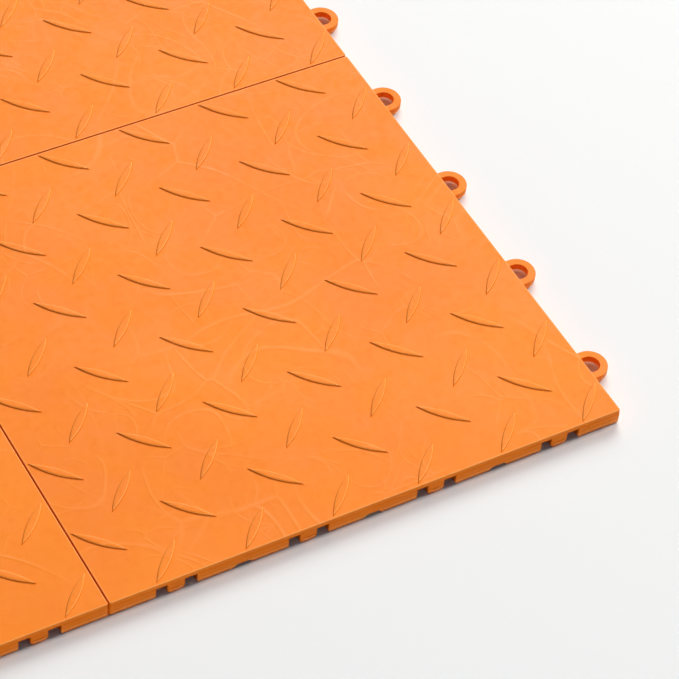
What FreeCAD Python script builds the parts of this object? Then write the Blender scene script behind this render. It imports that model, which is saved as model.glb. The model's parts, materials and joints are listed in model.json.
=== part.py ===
# Four interlocking floor tiles with a raised tread, laid two by two and snapped together.
# Millimetres, +Z up, +X to the right, +Y to the back. The origin is at the middle of the set's
# bounding box, on the floor. Each tile is one moulding: a top plate with tread lugs, a skirt round
# its edge, a lattice of ribs with feet under it, loops on its right and back sides, and pegs that
# drop into a neighbour's loops on its left and front sides.
import FreeCAD, Part
import math
import os

# The tile and the set
MODULE = 304.8          # from one tile to the next, 12 inches
TILES_PER_SIDE = 2
LOOPS_PER_SIDE = 4

# Top plate
PLATE_GAP = 0.9         # between the plates of two tiles
PLATE_TOP = 10.0
PLATE_UNDERSIDE = 7.2
CORNER_RADIUS = 1.0
TOP_EDGE_RADIUS = 0.3

# Skirt, which stands a little proud of the plate and so makes a narrow ledge under its edge
SKIRT_PROUD = 0.25
SKIRT_THICKNESS = 2.2
SKIRT_BOTTOM = 0.6

# Drain arches in the bottom of the skirt, halfway between two loops or pegs
ARCH_HEIGHT = 2.1
ARCH_BASE_WIDTH = 11.0
ARCH_TOP_WIDTH = 7.2
ARCH_DEPTH = 10.0

# Ribs and feet under the plate
CELLS_PER_SIDE = 12
RIB_THICKNESS = 1.8
FOOT_RADIUS = 2.6

# Loops: a flat ring whose hole is round on the outside and straight along the skirt
LOOP_RADIUS = 10.0
LOOP_HOLE_RADIUS = 5.5
LOOP_CENTRE_OUT = 4.1   # from the line midway between two tiles to the middle of the round end
LOOP_BOTTOM = 1.8
LOOP_TOP = 6.2
HOLE_RELIEF = 0.5       # how far the hole runs into the skirt, to let the snap bead past

# Pegs: a post with a flat front, a round back and a snap bead across the front of its foot
PEG_CLEARANCE = 0.5
PEG_BOTTOM = 0.2
PEG_LEAD_IN = 0.7
BEAD_STAND_OUT = 0.6
BEAD_BOTTOM = 0.7
BEAD_TOP = 2.83

# Tread lugs: long lenses at 45 degrees, alternately leaning left and right
LUG_PATTERN_COUNT = 6   # pattern cells along each side of a tile
LUG_HEIGHT = 0.8
LUG_LENGTH = 31.5
LUG_WIDTH = 5.0

OVERLAP = 0.5           # how far joined pieces run into each other before they are fused

HALF = MODULE / 2
PLATE_HALF = HALF - PLATE_GAP / 2
SKIRT_HALF = PLATE_HALF + SKIRT_PROUD
SKIRT_INNER_HALF = SKIRT_HALF - SKIRT_THICKNESS
CELL = MODULE / CELLS_PER_SIDE
LOOP_PITCH = MODULE / LOOPS_PER_SIDE
PEG_RADIUS = LOOP_HOLE_RADIUS - PEG_CLEARANCE
LOOP_REACH = LOOP_CENTRE_OUT + LOOP_RADIUS
BEAD_REACH = BEAD_STAND_OUT - PLATE_GAP / 2

UP = FreeCAD.Vector(0, 0, 1)
MIDDLE = FreeCAD.Vector(0, 0, 0)


def block(x_range, y_range, z_range):
    """A box between two limits on each axis."""
    corner = FreeCAD.Vector(x_range[0], y_range[0], z_range[0])
    sizes = [high - low for low, high in (x_range, y_range, z_range)]
    return Part.makeBox(*sizes, corner)


def upright(x, y, radius, z_range):
    """A vertical cylinder."""
    return Part.makeCylinder(radius, z_range[1] - z_range[0], FreeCAD.Vector(x, y, z_range[0]), UP)


def rounded_square(half, radius, z_range):
    """A square slab with rounded vertical edges."""
    slab = block((-half, half), (-half, half), z_range)
    corners = [edge for edge in slab.Edges if abs(edge.tangentAt(edge.FirstParameter).z) > 0.9]
    return slab.makeFillet(radius, corners)


def turned(shape, degrees):
    """A copy of a shape turned about the tile's middle."""
    copy = shape.copy()
    copy.rotate(MIDDLE, UP, degrees)
    return copy


def on_two_sides(shapes):
    """Shapes made for the back or the front of a tile, and the same for its right or its left."""
    return shapes + [turned(shape, -90) for shape in shapes]


def loop_places():
    """The distance along a side of each loop or peg, from the side's middle."""
    return [(number + 0.5) * LOOP_PITCH - HALF for number in range(LOOPS_PER_SIDE)]


def arch_places():
    """The distance along a side of each drain arch, halfway between two loops."""
    return [number * LOOP_PITCH - HALF for number in range(1, LOOPS_PER_SIDE)]


def make_plate():
    plate = rounded_square(PLATE_HALF, CORNER_RADIUS, (PLATE_UNDERSIDE, PLATE_TOP))
    rim = [edge for edge in plate.Edges if edge.BoundBox.ZMin > PLATE_TOP - 0.01]
    return plate.makeFillet(TOP_EDGE_RADIUS, rim)


def make_skirt():
    """The skirt, with a notch round each peg and half a millimetre of hole relief at each loop."""
    height = (SKIRT_BOTTOM, PLATE_UNDERSIDE)
    outside = rounded_square(SKIRT_HALF, CORNER_RADIUS + SKIRT_PROUD, height)
    inside = rounded_square(SKIRT_INNER_HALF, CORNER_RADIUS / 2, height)
    notch_half = (CELL - RIB_THICKNESS) / 2
    notches = [block((x - notch_half, x + notch_half), (-HALF, -SKIRT_INNER_HALF), height)
               for x in loop_places()]
    reliefs = [block((x - LOOP_HOLE_RADIUS, x + LOOP_HOLE_RADIUS), (SKIRT_HALF - HOLE_RELIEF, HALF), height)
               for x in loop_places()]
    return outside.cut([inside] + on_two_sides(notches) + on_two_sides(reliefs))


def rib_outline(start, end, drains):
    """The side view of a rib in the XZ plane, with an arch cut up into it at each drain."""
    points = [(start, PLATE_UNDERSIDE + OVERLAP), (start, SKIRT_BOTTOM)]
    for x in drains:
        points += [(x - ARCH_BASE_WIDTH / 2, SKIRT_BOTTOM), (x - ARCH_TOP_WIDTH / 2, SKIRT_BOTTOM + ARCH_HEIGHT),
                   (x + ARCH_TOP_WIDTH / 2, SKIRT_BOTTOM + ARCH_HEIGHT), (x + ARCH_BASE_WIDTH / 2, SKIRT_BOTTOM)]
    points += [(end, SKIRT_BOTTOM), (end, PLATE_UNDERSIDE + OVERLAP)]
    return Part.makePolygon([FreeCAD.Vector(x, 0, z) for x, z in points + points[:1]])


def make_ribs():
    """Ribs both ways on every cell line, with an arch in the middle of each cell."""
    end = SKIRT_INNER_HALF + OVERLAP
    drains = [(number + 0.5) * CELL - HALF for number in range(CELLS_PER_SIDE)]
    rib = Part.Face(rib_outline(-end, end, drains)).extrude(FreeCAD.Vector(0, RIB_THICKNESS, 0))
    ribs = []
    for number in range(1, CELLS_PER_SIDE):
        copy = rib.copy()
        copy.translate(FreeCAD.Vector(0, number * CELL - HALF - RIB_THICKNESS / 2, 0))
        ribs += [copy, turned(copy, 90)]
    return ribs


def make_feet():
    """A round foot at each crossing of two ribs. The tile stands on these."""
    lines = [number * CELL - HALF for number in range(1, CELLS_PER_SIDE)]
    return [upright(x, y, FOOT_RADIUS, (0, PLATE_UNDERSIDE + OVERLAP)) for x in lines for y in lines]


def make_loop(x):
    """One loop on the back of a tile."""
    centre = HALF + LOOP_CENTRE_OUT
    thickness = (LOOP_BOTTOM, LOOP_TOP)
    sides = block((x - LOOP_RADIUS, x + LOOP_RADIUS), (SKIRT_HALF - SKIRT_THICKNESS / 2, centre), thickness)
    hole = upright(x, centre, LOOP_HOLE_RADIUS, thickness)
    straight = block((x - LOOP_HOLE_RADIUS, x + LOOP_HOLE_RADIUS), (SKIRT_HALF - HOLE_RELIEF, centre), thickness)
    ring = sides.fuse(upright(x, centre, LOOP_RADIUS, thickness)).cut([hole, straight])
    behind = block((x - LOOP_RADIUS, x + LOOP_RADIUS), (0, SKIRT_HALF - SKIRT_THICKNESS / 2), thickness)
    return ring.cut(behind).removeSplitter()


def make_peg(x):
    """One peg on the front of a tile, with its snap bead."""
    front = -PLATE_HALF
    centre = -HALF + LOOP_CENTRE_OUT
    height = (PEG_BOTTOM, PLATE_UNDERSIDE + OVERLAP)
    footprint = (x - PEG_RADIUS, x + PEG_RADIUS)
    round_back = upright(x, centre, PEG_RADIUS, height).cut(block(footprint, (-HALF - PEG_RADIUS, centre), height))
    post = block(footprint, (front, centre), height).fuse(round_back).removeSplitter()
    foot = [edge for edge in post.Edges
            if edge.BoundBox.ZMax < PEG_BOTTOM + 0.01 and edge.BoundBox.YMax > front + 0.01]
    post = post.makeChamfer(PEG_LEAD_IN, foot)
    bow_radius = (PEG_RADIUS ** 2 + BEAD_STAND_OUT ** 2) / (2 * BEAD_STAND_OUT)
    bow = upright(x, front - BEAD_STAND_OUT + bow_radius, bow_radius, (BEAD_BOTTOM, BEAD_TOP))
    bead = bow.common(block(footprint, (front - 2 * BEAD_STAND_OUT, centre), (BEAD_BOTTOM, BEAD_TOP)))
    return post.fuse(bead)


def make_lugs():
    """Lens-shaped lugs with sloping sides, each where two wide cones meet."""
    bulge = ((LUG_LENGTH / 2) ** 2 + (LUG_WIDTH / 2) ** 2) / LUG_WIDTH
    offset = bulge - LUG_WIDTH / 2
    depth = LUG_HEIGHT + OVERLAP
    foot = PLATE_TOP - OVERLAP
    cones = [Part.makeCone(bulge + OVERLAP, bulge - LUG_HEIGHT, depth, FreeCAD.Vector(0, side, foot), UP)
             for side in (-offset, offset)]
    lens = cones[0].common(cones[1])
    pitch = MODULE / LUG_PATTERN_COUNT
    lugs = []
    for column in range(LUG_PATTERN_COUNT):
        for row in range(LUG_PATTERN_COUNT):
            for lean, x, y in ((-45, pitch / 4, pitch * 3 / 4), (45, pitch * 3 / 4, pitch / 4)):
                lug = turned(lens, lean)
                lug.translate(FreeCAD.Vector(column * pitch + x - HALF, row * pitch + y - HALF, 0))
                lugs.append(lug)
    return lugs


def make_arches():
    """Cutters for the drain arches of all four sides."""
    cutters = []
    for x in arch_places():
        outline = rib_outline(x - ARCH_BASE_WIDTH, x + ARCH_BASE_WIDTH, [x])
        slab = block((x - ARCH_BASE_WIDTH / 2, x + ARCH_BASE_WIDTH / 2), (-HALF, -HALF + ARCH_DEPTH),
                     (0, SKIRT_BOTTOM + ARCH_HEIGHT))
        keep = Part.Face(outline).extrude(FreeCAD.Vector(0, ARCH_DEPTH, 0))
        keep.translate(FreeCAD.Vector(0, -HALF, 0))
        cutters += [turned(slab.cut(keep), angle) for angle in (0, 90, 180, 270)]
    return cutters


def make_tile():
    """One tile about its own middle."""
    pieces = [make_skirt()] + make_ribs() + make_feet() + make_lugs()
    pieces += on_two_sides([make_loop(x) for x in loop_places()])
    pieces += on_two_sides([make_peg(x) for x in loop_places()])
    return make_plate().fuse(pieces).removeSplitter().cut(make_arches())


def main():
    os.makedirs("parts", exist_ok=True)
    tile = make_tile()
    grid_middle = (BEAD_REACH - LOOP_REACH) / 2
    first = grid_middle - (TILES_PER_SIDE - 1) * HALF
    for row, depth_name in enumerate(("front", "back")):
        for column, side_name in enumerate(("left", "right")):
            copy = tile.copy()
            copy.translate(FreeCAD.Vector(first + column * MODULE, first + row * MODULE, 0))
            copy.exportStep(f"parts/{depth_name}_{side_name}_tile.step")


main()
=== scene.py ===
"""Four interlocking floor tiles in orange plastic, laid two by two on a pale studio floor."""
import json
from math import asin, cos, pi, radians, sin, sqrt

import bmesh
import bpy
from mathutils import Matrix, Vector


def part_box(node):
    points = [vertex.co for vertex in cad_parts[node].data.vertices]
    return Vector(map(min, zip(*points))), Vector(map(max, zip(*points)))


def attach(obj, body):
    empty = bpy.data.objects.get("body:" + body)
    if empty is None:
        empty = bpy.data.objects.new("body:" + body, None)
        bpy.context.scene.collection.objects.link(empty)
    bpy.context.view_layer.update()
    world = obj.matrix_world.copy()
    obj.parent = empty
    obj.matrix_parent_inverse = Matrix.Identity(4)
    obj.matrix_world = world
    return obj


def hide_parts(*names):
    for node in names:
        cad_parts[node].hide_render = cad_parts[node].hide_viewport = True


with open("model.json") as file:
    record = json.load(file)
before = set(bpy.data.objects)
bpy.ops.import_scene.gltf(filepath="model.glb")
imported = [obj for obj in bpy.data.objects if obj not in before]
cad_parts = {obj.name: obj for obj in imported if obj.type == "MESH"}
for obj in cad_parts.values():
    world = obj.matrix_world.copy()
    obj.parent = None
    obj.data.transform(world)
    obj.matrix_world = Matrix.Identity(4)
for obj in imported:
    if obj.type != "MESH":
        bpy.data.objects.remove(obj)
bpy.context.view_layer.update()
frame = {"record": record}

MM = 0.001

# One tile, in millimetres about the middle of its underside. These repeat the CAD part's sizes.
MODULE = 304.8
PLATE_GAP = 0.9
HALF = MODULE / 2
PLATE_HALF = HALF - PLATE_GAP / 2
PLATE_TOP = 10.0
UNDERSIDE = 7.2
CORNER = 1.0
TOP_EDGE = 0.3
SKIRT_PROUD = 0.25
SKIRT_THICKNESS = 2.2
SKIRT_BOTTOM = 0.6
SKIRT_INNER = PLATE_HALF + SKIRT_PROUD - SKIRT_THICKNESS
CELLS = 12
CELL = MODULE / CELLS
RIB = 1.8
FOOT_RADIUS = 2.6
LOOPS = 4
LOOP_PITCH = MODULE / LOOPS
LOOP_RADIUS = 10.0
HOLE_RADIUS = 5.5
PAST_SEAM = 4.1
LOOP_CENTRE = HALF + PAST_SEAM
HOLE_RELIEF = 0.5
HOLE_FLAT = PLATE_HALF + SKIRT_PROUD - HOLE_RELIEF
LOOP_BOTTOM = 1.8
LOOP_TOP = 6.2
PEG_RADIUS = 5.0
PEG_CENTRE = PAST_SEAM - HALF
PEG_BOTTOM = 0.2
PEG_CORNER = 0.7
BEAD = 0.6
BEAD_LEDGE = 2.83
ARCH_HEIGHT = 2.1
ARCH_BASE = 11.0
ARCH_TOP = 7.2
ARCH_CORNER = 0.3
ARCH_DEPTH = 10.0
LUGS = 6
LUG_LENGTH = 31.5
LUG_WIDTH = 5.0
LUG_HEIGHT = 0.8
OVERLAP = 0.5
BELOW = -1.0
OUTSIDE = -HALF - 2
LOOP_PLACES = [(number + 0.5) * LOOP_PITCH - HALF for number in range(LOOPS)]
ARCH_PLACES = [number * LOOP_PITCH - HALF for number in range(1, LOOPS)]


# ---------------------------------------------------------------- mesh helpers

def loft(rings):
    """A closed skin over rings of equally many points, as (points, faces), capped at both ends."""
    count = len(rings[0])
    points = [Vector(point) for ring in rings for point in ring]
    faces = [tuple(reversed(range(count))), tuple(range(len(points) - count, len(points)))]
    for level in range(len(rings) - 1):
        for step in range(count):
            after = (step + 1) % count
            low = level * count
            faces.append((low + step, low + after, low + count + after, low + count + step))
    return points, faces


def prism(outline, start, end):
    """An outline of (x, z) points drawn out along y."""
    return loft([[(x, y, z) for x, z in outline] for y in (end, start)])


def moved(shape, x=0.0, y=0.0, turn=0):
    """A shape turned about the tile's middle by quarter turns, after a shift."""
    matrix = Matrix.Rotation(turn * pi / 2, 4, "Z") @ Matrix.Translation((x, y, 0))
    points, faces = shape
    return [matrix @ point for point in points], faces


def on_two_sides(shapes):
    """Shapes for the back or front of a tile, and the same for its right or left."""
    return shapes + [moved(shape, turn=-1) for shape in shapes]


def as_object(name, shapes):
    """One object made of separate closed shapes, in metres."""
    points, faces = [], []
    for shape_points, shape_faces in shapes:
        start = len(points)
        points += [point * MM for point in shape_points]
        faces += [tuple(start + corner for corner in face) for face in shape_faces]
    mesh = bpy.data.meshes.new(name)
    mesh.from_pydata(points, [], faces)
    work = bmesh.new()
    work.from_mesh(mesh)
    bmesh.ops.recalc_face_normals(work, faces=work.faces)
    work.to_mesh(mesh)
    work.free()
    made = bpy.data.objects.new(name, mesh)
    bpy.context.scene.collection.objects.link(made)
    return made


def apply_modifiers(target):
    """Bakes an object's modifiers into its own mesh."""
    graph = bpy.context.evaluated_depsgraph_get()
    result = bpy.data.meshes.new_from_object(target.evaluated_get(graph))
    target.modifiers.clear()
    target.data = result


def combine(target, operation, name, shapes):
    """Joins shapes to the target or cuts them out of it."""
    tool = as_object(name, shapes)
    boolean = target.modifiers.new(name, "BOOLEAN")
    boolean.object = tool
    boolean.operation = operation
    boolean.solver = "MANIFOLD"
    apply_modifiers(target)
    bpy.data.objects.remove(tool)


# ---------------------------------------------------------------- outlines

def rounded_square(half, radius, z, steps=8):
    """A square with rounded corners."""
    ring = []
    for corner in range(4):
        for step in range(steps + 1):
            angle = (corner + step / steps) * pi / 2
            middle = (corner + 0.5) * pi / 2
            reach = (half - radius) * sqrt(2)
            x = reach * cos(middle) + radius * cos(angle)
            y = reach * sin(middle) + radius * sin(angle)
            ring.append((x, y, z))
    return ring


def lens(inset, z, steps=14):
    """A pointed lens along x, drawn in from its full size by an inset."""
    bulge = (LUG_LENGTH ** 2 + LUG_WIDTH ** 2) / (4 * LUG_WIDTH)
    offset = bulge - LUG_WIDTH / 2
    radius = bulge - inset
    widest = asin(sqrt(radius ** 2 - offset ** 2) / radius)
    angles = [widest * (1 - 2 * step / steps) for step in range(steps + 1)]
    far = [(radius * sin(angle), radius * cos(angle) - offset, z) for angle in angles]
    near = [(x, -y, z) for x, y, z in reversed(far[1:-1])]
    return far + near


def stadium_end(half, base, centre, z, steps=24):
    """A straight base across y = base, straight sides, and a round end about y = centre."""
    turns = [step * pi / steps for step in range(steps + 1)]
    arc = [(half * cos(turn), centre + half * sin(turn), z) for turn in turns]
    return [(-half, base, z), (half, base, z)] + arc


def peg_outline(z, bulge, inset, steps=12):
    """A peg's section: a front that bows out by a bulge, two small rounded corners, and a round back."""
    half = PEG_RADIUS - inset
    edge = half - PEG_CORNER
    front = []
    for step in range(steps + 1):
        across = 2 * step / steps - 1
        front.append((across * edge, -PLATE_HALF - bulge * (1 - across ** 2), z))
    turns = [step * pi / 8 for step in (1, 2, 3)]
    right = [(edge + PEG_CORNER * sin(turn), PEG_CORNER * (1 - cos(turn)) - PLATE_HALF, z)
             for turn in turns]
    left = [(-x, y, z) for x, y, z in reversed(right)]
    turns = [step * pi / (2 * steps) for step in range(2 * steps + 1)]
    back = [(half * cos(turn), PEG_CENTRE + half * sin(turn), z) for turn in turns]
    return front + right + back + left


def arched_outline(start, end, top, arches):
    """The side view of a rib as (x, z) points, with an arch cut up into its bottom at each place."""
    outline = [(start, top), (start, SKIRT_BOTTOM)]
    crown = SKIRT_BOTTOM + ARCH_HEIGHT
    half_arch = [(ARCH_BASE / 2, SKIRT_BOTTOM), (ARCH_TOP / 2 + ARCH_CORNER, crown - ARCH_CORNER),
                 (ARCH_TOP / 2 - ARCH_CORNER, crown)]
    for x in arches:
        outline += [(x - across, z) for across, z in half_arch]
        outline += [(x + across, z) for across, z in reversed(half_arch)]
    return outline + [(end, SKIRT_BOTTOM), (end, top)]


# ---------------------------------------------------------------- the tile's features

def shell():
    """The top plate and the skirt as one skin, with a rounded top edge and a ledge under the plate."""
    turns = [step * pi / 10 for step in range(6)]
    profile = [(TOP_EDGE * (1 - sin(turn)), PLATE_TOP - TOP_EDGE * (1 - cos(turn))) for turn in turns]
    proud = -SKIRT_PROUD
    inner = SKIRT_THICKNESS - SKIRT_PROUD
    profile += [(0.0, UNDERSIDE + 0.15), (-0.04, UNDERSIDE + 0.03), (proud + 0.1, UNDERSIDE),
                (proud, UNDERSIDE - 0.12), (proud, SKIRT_BOTTOM + 0.35), (proud + 0.1, SKIRT_BOTTOM + 0.1),
                (proud + 0.35, SKIRT_BOTTOM), (inner - 0.3, SKIRT_BOTTOM), (inner, SKIRT_BOTTOM + 0.3),
                (inner, UNDERSIDE - 0.3), (inner + 0.3, UNDERSIDE)]
    return loft([rounded_square(PLATE_HALF - inset, max(CORNER - inset, 0.5), z) for inset, z in profile])


def rib_bars():
    """Ribs along x on every cell line, arched in the middle of each cell."""
    drains = [(number + 0.5) * CELL - HALF for number in range(CELLS)]
    end = SKIRT_INNER + OVERLAP
    outline = arched_outline(-end, end, UNDERSIDE + OVERLAP, drains)
    bar = prism(outline, -RIB / 2, RIB / 2)
    return [moved(bar, y=number * CELL - HALF) for number in range(1, CELLS)]


def feet():
    """A round foot at each crossing of two ribs."""
    profile = [(FOOT_RADIUS - 0.5, 0.0), (FOOT_RADIUS - 0.15, 0.12), (FOOT_RADIUS, 0.45),
               (FOOT_RADIUS, UNDERSIDE + OVERLAP)]
    turns = [step * pi / 10 for step in range(20)]
    foot = loft([[(radius * cos(turn), radius * sin(turn), z) for turn in turns] for radius, z in profile])
    lines = [number * CELL - HALF for number in range(1, CELLS)]
    return [moved(foot, x, y) for x in lines for y in lines]


def notch(x):
    """What is cut out of the front skirt round a peg, with rounded lower corners."""
    half = (CELL - RIB) / 2
    flare = 1.0
    turns = [step * pi / 8 for step in range(5)]
    corner = [(half + flare * (1 - cos(turn)), SKIRT_BOTTOM + flare * (1 - sin(turn))) for turn in turns]
    right = [(half, UNDERSIDE)] + corner + [(half + flare, BELOW)]
    left = [(-across, z) for across, z in reversed(right)]
    return moved(prism(right + left, OUTSIDE, -SKIRT_INNER), x)


def arch(x):
    """What is cut out of the bottom of the front skirt halfway between two pegs."""
    end = ARCH_BASE / 2 + 0.01
    outline = arched_outline(-end, end, BELOW, [0.0])
    return moved(prism(outline, OUTSIDE, -HALF + ARCH_DEPTH), x)


def ring(x):
    """A loop on the back of the tile, before its hole is cut."""
    profile = [(0.55, LOOP_BOTTOM), (0.16, LOOP_BOTTOM + 0.16), (0.0, LOOP_BOTTOM + 0.55),
               (0.0, LOOP_TOP - 0.55), (0.16, LOOP_TOP - 0.16), (0.55, LOOP_TOP)]
    root = PLATE_HALF + SKIRT_PROUD - SKIRT_THICKNESS / 2
    rings = [stadium_end(LOOP_RADIUS - inset, root, LOOP_CENTRE, z) for inset, z in profile]
    return moved(loft(rings), x)


def loop_hole(x):
    """The loop's hole, flared a little at the ring's two faces, and the relief it leaves in the skirt."""
    flare = 0.4
    profile = [(flare, BELOW), (flare, LOOP_BOTTOM - 0.02), (0.12, LOOP_BOTTOM + 0.12),
               (0.0, LOOP_BOTTOM + 0.4), (0.0, LOOP_TOP - 0.4), (0.12, LOOP_TOP - 0.12),
               (flare, LOOP_TOP + 0.02), (flare, UNDERSIDE)]
    rings = [stadium_end(HOLE_RADIUS + out, HOLE_FLAT, LOOP_CENTRE, z) for out, z in profile]
    return moved(loft(rings), x)


def peg(x):
    """A peg on the front of the tile: a post with a rounded foot and a snap bead across its front."""
    foot_round = 1.6
    turns = [step / 5 * pi / 2 for step in range(6)]
    profile = [(PEG_BOTTOM + foot_round * (1 - cos(turn)), foot_round * (1 - sin(turn))) for turn in turns]
    profile += [(z, 0.0) for z in (2.1, 2.45, 2.7, 2.82, 2.84, UNDERSIDE + OVERLAP)]
    low = 0.25

    def bulge(z):
        rise = (z - low) / (BEAD_LEDGE - low)
        return BEAD * sin(rise * pi * 0.55) ** 0.7 if 0 < rise < 1 else 0.0

    return moved(loft([peg_outline(z, bulge(z), inset) for z, inset in profile]), x)


def tread_lugs():
    """Lens-shaped lugs at 45 degrees, alternately leaning left and right."""
    profile = [(-0.12, -0.3), (0.0, 0.0), (0.23, 0.3), (0.47, 0.57), (0.62, 0.68),
               (0.82, 0.73), (1.15, 0.77), (1.75, LUG_HEIGHT)]
    lug = loft([lens(inset, PLATE_TOP + height) for inset, height in profile])
    pitch = MODULE / LUGS
    lugs = []
    for lean, x, y in ((-1, pitch / 4, pitch * 3 / 4), (1, pitch * 3 / 4, pitch / 4)):
        turn = Matrix.Rotation(lean * pi / 4, 4, "Z")
        leaning = [turn @ point for point in lug[0]], lug[1]
        lugs += [moved(leaning, column * pitch + x - HALF, row * pitch + y - HALF)
                 for column in range(LUGS) for row in range(LUGS)]
    return lugs


def make_tile_mesh():
    """The whole tile as one closed mesh in metres."""
    tile = as_object("tile", [shell()])
    bars = rib_bars()
    combine(tile, "UNION", "ribs_along", bars)
    combine(tile, "UNION", "ribs_across", [moved(bar, turn=1) for bar in bars])
    combine(tile, "DIFFERENCE", "notches", on_two_sides([notch(x) for x in LOOP_PLACES]))
    arches = [moved(arch(x), turn=turn) for x in ARCH_PLACES for turn in range(4)]
    combine(tile, "DIFFERENCE", "arches", arches)
    combine(tile, "UNION", "feet", feet())
    combine(tile, "UNION", "rings", on_two_sides([ring(x) for x in LOOP_PLACES]))
    combine(tile, "DIFFERENCE", "holes", on_two_sides([loop_hole(x) for x in LOOP_PLACES]))
    combine(tile, "UNION", "pegs", on_two_sides([peg(x) for x in LOOP_PLACES]))
    combine(tile, "UNION", "lugs", tread_lugs())
    mesh = tile.data
    mesh.shade_smooth()
    mesh.set_sharp_from_angle(angle=radians(38))
    weighted = tile.modifiers.new("weighted", "WEIGHTED_NORMAL")
    weighted.keep_sharp = True
    apply_modifiers(tile)
    mesh = tile.data
    bpy.data.objects.remove(tile)
    return mesh


# ---------------------------------------------------------------- material

DEEP_ORANGE = (0.90, 0.208, 0.003, 1)
LIGHT_ORANGE = (0.95, 0.238, 0.006, 1)
CLOUD_ORANGE = (0.97, 0.262, 0.010, 1)
MOTTLE_ORANGE = (0.86, 0.18, 0.002, 1)
MARK_ORANGE = (1.0, 0.29, 0.028, 1)
# Painted highlight colour for the top edge, the lug shoulders and the peg bead ledges.
HIGHLIGHT_ORANGE = (1.0, 0.42, 0.11, 1)
# Painted shade colour for everything inside the skirt under the plate.
UNDERSIDE_SHADE_ORANGE = (0.30, 0.055, 0.004, 1)
FLOOR_WHITE = (0.84, 0.84, 0.84, 1)
MARK_HEIGHT = 0.00008
DRIFT_HEIGHT = 0.0006
CLOUD_HEIGHT = 0.00006
MOTTLE_HEIGHT = 0.00001
GRAIN_HEIGHT = 0.0000035
ARC_RADIUS = 0.36


def add(tree, kind, inputs, output=0, **settings):
    """Makes a node from settings and inputs, each a value or another output. Returns one of its outputs."""
    node = tree.nodes.new(kind)
    for name, value in settings.items():
        setattr(node, name, value)
    for name, value in inputs.items():
        if isinstance(value, bpy.types.NodeSocket):
            tree.links.new(value, node.inputs[name])
        else:
            node.inputs[name].default_value = value
    return node.outputs[output]


def calc(tree, operation, first, second=0.0):
    """One step of arithmetic on two values."""
    return add(tree, "ShaderNodeMath", {0: first, 1: second}, operation=operation)


def fade(tree, value, start, end, low=0.0, high=1.0):
    """Goes smoothly from low to high as a value goes from start to end."""
    inputs = {"Value": value, "From Min": start, "From Max": end, "To Min": low, "To Max": high}
    return add(tree, "ShaderNodeMapRange", inputs, interpolation_type="SMOOTHSTEP")


def noise(tree, place, scale, detail=2.0, output="Fac"):
    """A noise of about `scale` features a metre."""
    return add(tree, "ShaderNodeTexNoise", {"Vector": place, "Scale": scale, "Detail": detail}, output)


def mix(tree, factor, first, second):
    """Goes from the first colour to the second as the factor goes from 0 to 1."""
    inputs = {"Factor": factor, 6: first, 7: second}
    return add(tree, "ShaderNodeMix", inputs, 2, data_type="RGBA")


def flow_marks(tree, place, scale, seed, width):
    """Curved streaks where streams of plastic met in the mould, strong here and gone there."""
    start = add(tree, "ShaderNodeVectorMath", {0: place, 1: (seed, -seed, 0)}, operation="ADD")
    wander = noise(tree, start, scale * 0.6, 1.0, "Color")
    centred = add(tree, "ShaderNodeVectorMath", {0: wander, 1: (0.5, 0.5, 0.5)}, operation="SUBTRACT")
    push = add(tree, "ShaderNodeVectorMath", {0: centred, "Scale": 1.1 / scale}, operation="SCALE")
    bent = add(tree, "ShaderNodeVectorMath", {0: start, 1: push}, operation="ADD")
    edges = add(tree, "ShaderNodeTexVoronoi", {"Vector": bent, "Scale": scale}, "Distance",
                voronoi_dimensions="2D", feature="DISTANCE_TO_EDGE")
    middles = add(tree, "ShaderNodeTexVoronoi", {"Vector": bent, "Scale": scale}, "Distance",
                  voronoi_dimensions="2D", feature="F1")
    arc = calc(tree, "ABSOLUTE", calc(tree, "SUBTRACT", middles, ARC_RADIUS))
    nearest = calc(tree, "MINIMUM", edges, arc)
    streak = fade(tree, nearest, 0.0, width * scale, 1.0, 0.0)
    strong = fade(tree, noise(tree, bent, scale * 1.1, 1.0), 0.43, 0.68)
    return calc(tree, "MULTIPLY", streak, strong)


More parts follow.
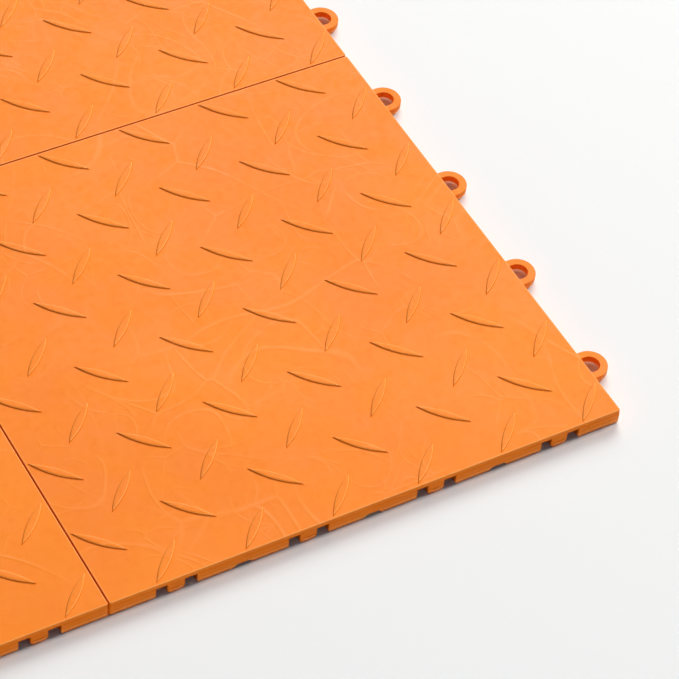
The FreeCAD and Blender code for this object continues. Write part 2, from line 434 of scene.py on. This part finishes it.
def tile_plastic(name, number):
    """Orange moulded plastic: flow marks, a fine grain and uneven colour, with painted highlights on the
    top edge, the lug shoulders and the peg bead ledges, and painted shade inside the skirt under the plate.
    """
    material = bpy.data.materials.new(name)
    material.use_nodes = True
    tree = material.node_tree
    shader = tree.nodes["Principled BSDF"]
    local = add(tree, "ShaderNodeTexCoord", {}, "Object")
    apart = (0.71 * number, 0.43 * number, 0)
    place = add(tree, "ShaderNodeVectorMath", {0: local, 1: apart}, operation="ADD")
    x, y, z = [add(tree, "ShaderNodeSeparateXYZ", {0: local}, axis) for axis in "XYZ"]

    wide_marks = flow_marks(tree, place, 12, 0.0, 0.0019)
    middle_marks = flow_marks(tree, place, 17, 3.1, 0.0014)
    fine_marks = flow_marks(tree, place, 26, 6.7, 0.0010)
    marks = calc(tree, "MAXIMUM", wide_marks, calc(tree, "MULTIPLY", middle_marks, 0.8))
    marks = calc(tree, "MAXIMUM", marks, calc(tree, "MULTIPLY", fine_marks, 0.6))
    marks = calc(tree, "MULTIPLY", marks, fade(tree, z, (PLATE_TOP - 1.5) * MM, (PLATE_TOP - 0.5) * MM))
    drift = noise(tree, place, 7, 3.0)
    cloud = noise(tree, place, 38, 4.0)
    mottle = noise(tree, place, 260, 3.0)
    grain = noise(tree, place, 2300, 1.0)

    # Painted highlight: a thin light band along the rounded top edge of the plate.
    across = calc(tree, "MAXIMUM", calc(tree, "ABSOLUTE", x), calc(tree, "ABSOLUTE", y))
    rim = fade(tree, across, (PLATE_HALF - 0.8) * MM, (PLATE_HALF - 0.3) * MM)
    high = fade(tree, z, (PLATE_TOP - 0.7) * MM, (PLATE_TOP - 0.2) * MM, 0.0, 0.75)
    rim = calc(tree, "MULTIPLY", rim, high)
    # Painted highlight: a light band round the upper slopes of each lug, stopping short of its crown.
    shoulder = fade(tree, z, (PLATE_TOP + 0.35) * MM, (PLATE_TOP + 0.6) * MM)
    crown = fade(tree, z, (PLATE_TOP + 0.68) * MM, (PLATE_TOP + 0.74) * MM, 1.0, 0.0)
    tread = calc(tree, "MULTIPLY", calc(tree, "MULTIPLY", shoulder, crown), 0.95)
    painted_highlights = calc(tree, "MAXIMUM", rim, tread)
    # Painted highlight: a light band on the proud face of each peg's bead, from below its ledge up to the
    # ledge.
    ledge = fade(tree, z, (BEAD_LEDGE - 1.3) * MM, (BEAD_LEDGE - 0.6) * MM)
    under_ledge = fade(tree, z, BEAD_LEDGE * MM, (BEAD_LEDGE + 0.1) * MM, 1.0, 0.0)
    proud = fade(tree, across, PLATE_HALF * MM, (PLATE_HALF + SKIRT_PROUD) * MM)
    ledge = calc(tree, "MULTIPLY", calc(tree, "MULTIPLY", ledge, under_ledge), proud)
    painted_highlights = calc(tree, "MAXIMUM", painted_highlights, ledge)
    # The painted highlights are made patchy at random.
    uneven = fade(tree, noise(tree, place, 420, 3.0), 0.2, 0.55, 0.45, 1.0)
    painted_highlights = calc(tree, "MULTIPLY", painted_highlights, uneven)

    colour = mix(tree, fade(tree, drift, 0.3, 0.7), DEEP_ORANGE, LIGHT_ORANGE)
    colour = mix(tree, fade(tree, cloud, 0.35, 0.75, 0.0, 0.35), colour, CLOUD_ORANGE)
    colour = mix(tree, fade(tree, mottle, 0.5, 0.8, 0.0, 0.3), colour, MOTTLE_ORANGE)
    colour = mix(tree, calc(tree, "MULTIPLY", marks, 0.26), colour, MARK_ORANGE)
    # Painted highlights lighten the colour here.
    colour = mix(tree, calc(tree, "MULTIPLY", painted_highlights, 0.9), colour, HIGHLIGHT_ORANGE)
    # Painted shade: everything inside the skirt below the plate, including ribs, feet and the inner ends of
    # the pegs, is darkened towards a deep brown.
    underside_shade = fade(tree, across, (SKIRT_INNER + 0.6) * MM, (PLATE_HALF - 0.2) * MM, 0.75, 0.0)
    under = fade(tree, z, UNDERSIDE * MM, (UNDERSIDE + 1) * MM, 1.0, 0.0)
    underside_shade = calc(tree, "MULTIPLY", underside_shade, under)
    colour = mix(tree, underside_shade, colour, UNDERSIDE_SHADE_ORANGE)
    tree.links.new(colour, shader.inputs["Base Color"])

    roughness = fade(tree, cloud, 0.3, 0.7, 0.36, 0.46)
    roughness = calc(tree, "ADD", roughness, fade(tree, mottle, 0.3, 0.7, -0.03, 0.05))
    roughness = calc(tree, "SUBTRACT", roughness, calc(tree, "MULTIPLY", marks, 0.09))
    roughness = calc(tree, "SUBTRACT", roughness, calc(tree, "MULTIPLY", painted_highlights, 0.08))
    tree.links.new(roughness, shader.inputs["Roughness"])

    height = calc(tree, "MULTIPLY", marks, MARK_HEIGHT)
    for pattern, relief in ((drift, DRIFT_HEIGHT), (cloud, CLOUD_HEIGHT), (mottle, MOTTLE_HEIGHT),
                            (grain, GRAIN_HEIGHT)):
        height = calc(tree, "ADD", height, calc(tree, "MULTIPLY", pattern, relief))
    normal = add(tree, "ShaderNodeBump", {"Height": height, "Distance": 1.0, "Strength": 1.0}, "Normal")
    tree.links.new(normal, shader.inputs["Normal"])
    shader.inputs["IOR"].default_value = 1.49
    shader.inputs["Specular IOR Level"].default_value = 0.12
    return material


# ---------------------------------------------------------------- the tiles

tile_mesh = make_tile_mesh()
tile_mesh.materials.clear()
reach = PLATE_HALF + BEAD
for number, (body, nodes) in enumerate(frame["record"]["behaviour"]["bodies"].items()):
    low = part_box(nodes[0])[0]
    mesh = tile_mesh.copy()
    mesh.name = f"{body}_tile_mesh"
    mesh.materials.append(tile_plastic(f"{body}_plastic", number))
    tile = bpy.data.objects.new(f"{body}_tile_moulding", mesh)
    bpy.context.scene.collection.objects.link(tile)
    tile.location = (low.x + reach * MM, low.y + reach * MM, 0)
    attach(tile, body)
    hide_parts(nodes[0])


# ---------------------------------------------------------------- stage, light and camera

def make_floor():
    """A wide white studio floor under the feet."""
    mesh = bpy.data.meshes.new("floor")
    size = 12.0
    corners = [(-size, -size, 0), (size, -size, 0), (size, size, 0), (-size, size, 0)]
    mesh.from_pydata(corners, [], [(0, 1, 2, 3)])
    floor = bpy.data.objects.new("floor", mesh)
    bpy.context.scene.collection.objects.link(floor)
    material = bpy.data.materials.new("floor_white")
    material.use_nodes = True
    shader = material.node_tree.nodes["Principled BSDF"]
    shader.inputs["Base Color"].default_value = FLOOR_WHITE
    shader.inputs["Roughness"].default_value = 0.9
    shader.inputs["Specular IOR Level"].default_value = 0.1
    mesh.materials.append(material)


def area_light(name, place, size, power, colour, spread=pi):
    """A square soft light that faces the middle of the tiles."""
    light = bpy.data.lights.new(name, "AREA")
    light.shape = "SQUARE"
    light.size = size
    light.energy = power
    light.color = colour
    light.spread = spread
    lamp = bpy.data.objects.new(name, light)
    lamp.location = place
    lamp.rotation_mode = "QUATERNION"
    lamp.rotation_quaternion = (-Vector(place)).to_track_quat("-Z", "Y")
    bpy.context.scene.collection.objects.link(lamp)


def make_world(colour, strength):
    """An even, slightly blue light from all round."""
    world = bpy.data.worlds.new("studio")
    world.use_nodes = True
    background = world.node_tree.nodes["Background"]
    background.inputs["Color"].default_value = (*colour, 1)
    background.inputs["Strength"].default_value = strength
    bpy.context.scene.world = world


def make_camera():
    """A long lens from the left front, aimed at the front right tile."""
    data = bpy.data.cameras.new("camera")
    data.lens = 168.7
    data.sensor_width = 36.0
    data.clip_end = 100
    camera = bpy.data.objects.new("camera", data)
    azimuth = radians(33.89)
    elevation = radians(47.50)
    roll = radians(6.78)
    distance = 1.7222
    forward = Vector((sin(azimuth) * cos(elevation), cos(azimuth) * cos(elevation), -sin(elevation)))
    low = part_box("front_right_tile")[0]
    past_module = PLATE_HALF + BEAD - HALF
    corner = Vector((low.x + past_module * MM, low.y + past_module * MM, PLATE_TOP * MM))
    aim = Vector((0.19135, 0.10837, 0))
    camera.location = corner + aim - forward * distance
    camera.rotation_mode = "QUATERNION"
    level = forward.to_track_quat("-Z", "Y")
    camera.rotation_quaternion = level @ Matrix.Rotation(roll, 3, "Z").to_quaternion()
    bpy.context.scene.collection.objects.link(camera)
    bpy.context.scene.camera = camera


make_floor()
area_light("key_right", (4.6, 0.1, 4.3), 1.5, 250, (1.0, 0.97, 0.93))
area_light("soft_back", (3.6, 4.6, 4.8), 4.6, 515, (1.0, 0.98, 0.95))
area_light("low_front", (-1.6, -4.8, 0.5), 0.7, 4.3, (1.0, 0.74, 0.42), radians(60))
make_world((0.72, 0.94, 1.2), 0.13)
make_camera()
bpy.context.scene.view_settings.view_transform = "Standard"
